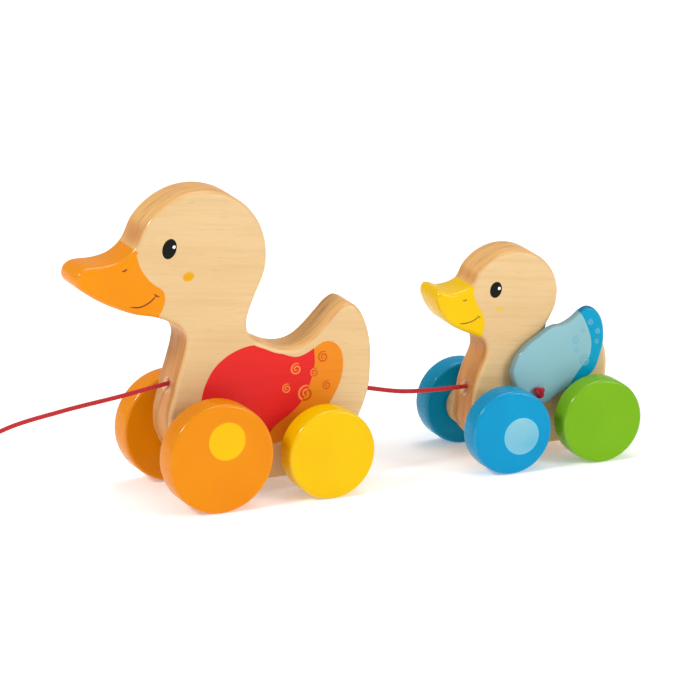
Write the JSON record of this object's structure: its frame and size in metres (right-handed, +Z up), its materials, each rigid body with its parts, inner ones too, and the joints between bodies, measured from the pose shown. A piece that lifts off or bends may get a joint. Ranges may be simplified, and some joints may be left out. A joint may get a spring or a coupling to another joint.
{
  "type": "pull along toy",
  "caption": "Wooden pull-along toy: a mother duck on wheels, pulled by a cord, tows a duckling on wheels whose wings flap over off-centre discs on its rear axle.",
  "frame": {"origin": "on the floor, under the middle of the toy's length and width, cords left out", "axes": "the ducks face -X, +Z is up, +Y is the ducks' right"},
  "size_m": [0.415, 0.072, 0.1555],
  "materials": {
    "mother_beech": "sanded beech board with an orange painted beak and a printed red and orange wing",
    "duckling_beech": "sanded beech board with a yellow painted beak",
    "spacer_beech": "bare turned beech",
    "bead_beech": "clear-lacquered turned beech",
    "axle_wood": "bare dowel",
    "orange_paint": "glossy orange paint on wood, with a yellow dot on the outer face",
    "yellow_paint": "glossy yellow paint on wood",
    "blue_paint": "glossy blue paint on wood, with a light blue dot on the outer face",
    "green_paint": "glossy green paint on wood",
    "wing_paint": "light blue and blue paint on thin wood",
    "red_cord": "braided red cord",
    "knot_cord": "dark red knotted cord"
  },
  "bodies": {
    "mother": {"mother_body": "mother_beech", "pull_cord": "red_cord", "pull_cord_coil": "red_cord", "pull_cord_tail": "red_cord", "pull_cord_anchor_knot": "red_cord", "pull_bead": "bead_beech", "bead_knot": "red_cord", "link_cord_front_knot": "red_cord"},
    "mother_front_axle": {"mother_front_axle": "axle_wood", "mother_front_wheel_left": "orange_paint", "mother_front_wheel_right": "orange_paint", "mother_front_spacer_left": "spacer_beech", "mother_front_spacer_right": "spacer_beech"},
    "mother_rear_axle": {"mother_rear_axle": "axle_wood", "mother_rear_wheel_left": "yellow_paint", "mother_rear_wheel_right": "yellow_paint", "mother_rear_spacer_left": "spacer_beech", "mother_rear_spacer_right": "spacer_beech"},
    "link_cord": {"link_cord": "red_cord"},
    "duckling": {"duckling_body": "duckling_beech", "wing_cord": "red_cord", "wing_knot_left": "knot_cord", "wing_knot_right": "knot_cord", "link_cord_rear_knot": "red_cord"},
    "duckling_front_axle": {"duckling_front_axle": "axle_wood", "duckling_front_wheel_left": "blue_paint", "duckling_front_wheel_right": "blue_paint", "duckling_front_spacer_left": "spacer_beech", "duckling_front_spacer_right": "spacer_beech"},
    "duckling_rear_axle": {"duckling_rear_axle": "axle_wood", "duckling_rear_wheel_left": "green_paint", "duckling_rear_wheel_right": "green_paint", "wing_cam_left": "spacer_beech", "wing_cam_right": "spacer_beech"},
    "wing_left": {"duckling_wing_left": "wing_paint"},
    "wing_right": {"duckling_wing_right": "wing_paint"}
  },
  "joints": [
    {"name": "mother_front_roll", "type": "hinge", "parent": "mother", "child": "mother_front_axle", "pos_m": [-0.08045, 0, 0.0275], "axis": [0, -1, 0], "continuous": true},
    {"name": "mother_rear_roll", "type": "hinge", "parent": "mother", "child": "mother_rear_axle", "pos_m": [-0.02185, 0, 0.0225], "axis": [0, -1, 0], "continuous": true},
    {"name": "cord_swing", "type": "hinge", "parent": "mother", "child": "link_cord", "pos_m": [0.00605, 0, 0.0442], "axis": [0, 0, 1], "range_deg": [-35, 35]},
    {"name": "duckling_swing", "type": "hinge", "parent": "link_cord", "child": "duckling", "pos_m": [0.06655, 0, 0.0369], "axis": [0, 0, 1], "range_deg": [-35, 35]},
    {"name": "duckling_front_roll", "type": "hinge", "parent": "duckling", "child": "duckling_front_axle", "pos_m": [0.07495, 0, 0.0212], "axis": [0, -1, 0], "continuous": true},
    {"name": "duckling_rear_roll", "type": "hinge", "parent": "duckling", "child": "duckling_rear_axle", "pos_m": [0.12405, 0, 0.0212], "axis": [0, -1, 0], "continuous": true},
    {"name": "left_wing_flap", "type": "hinge", "parent": "duckling", "child": "wing_left", "pos_m": [0.09685, 0, 0.0351], "axis": [0, -1, 0], "range_deg": [-23, 40]},
    {"name": "right_wing_flap", "type": "hinge", "parent": "duckling", "child": "wing_right", "pos_m": [0.09685, 0, 0.0351], "axis": [0, -1, 0], "range_deg": [-66, 2]}
  ]
}
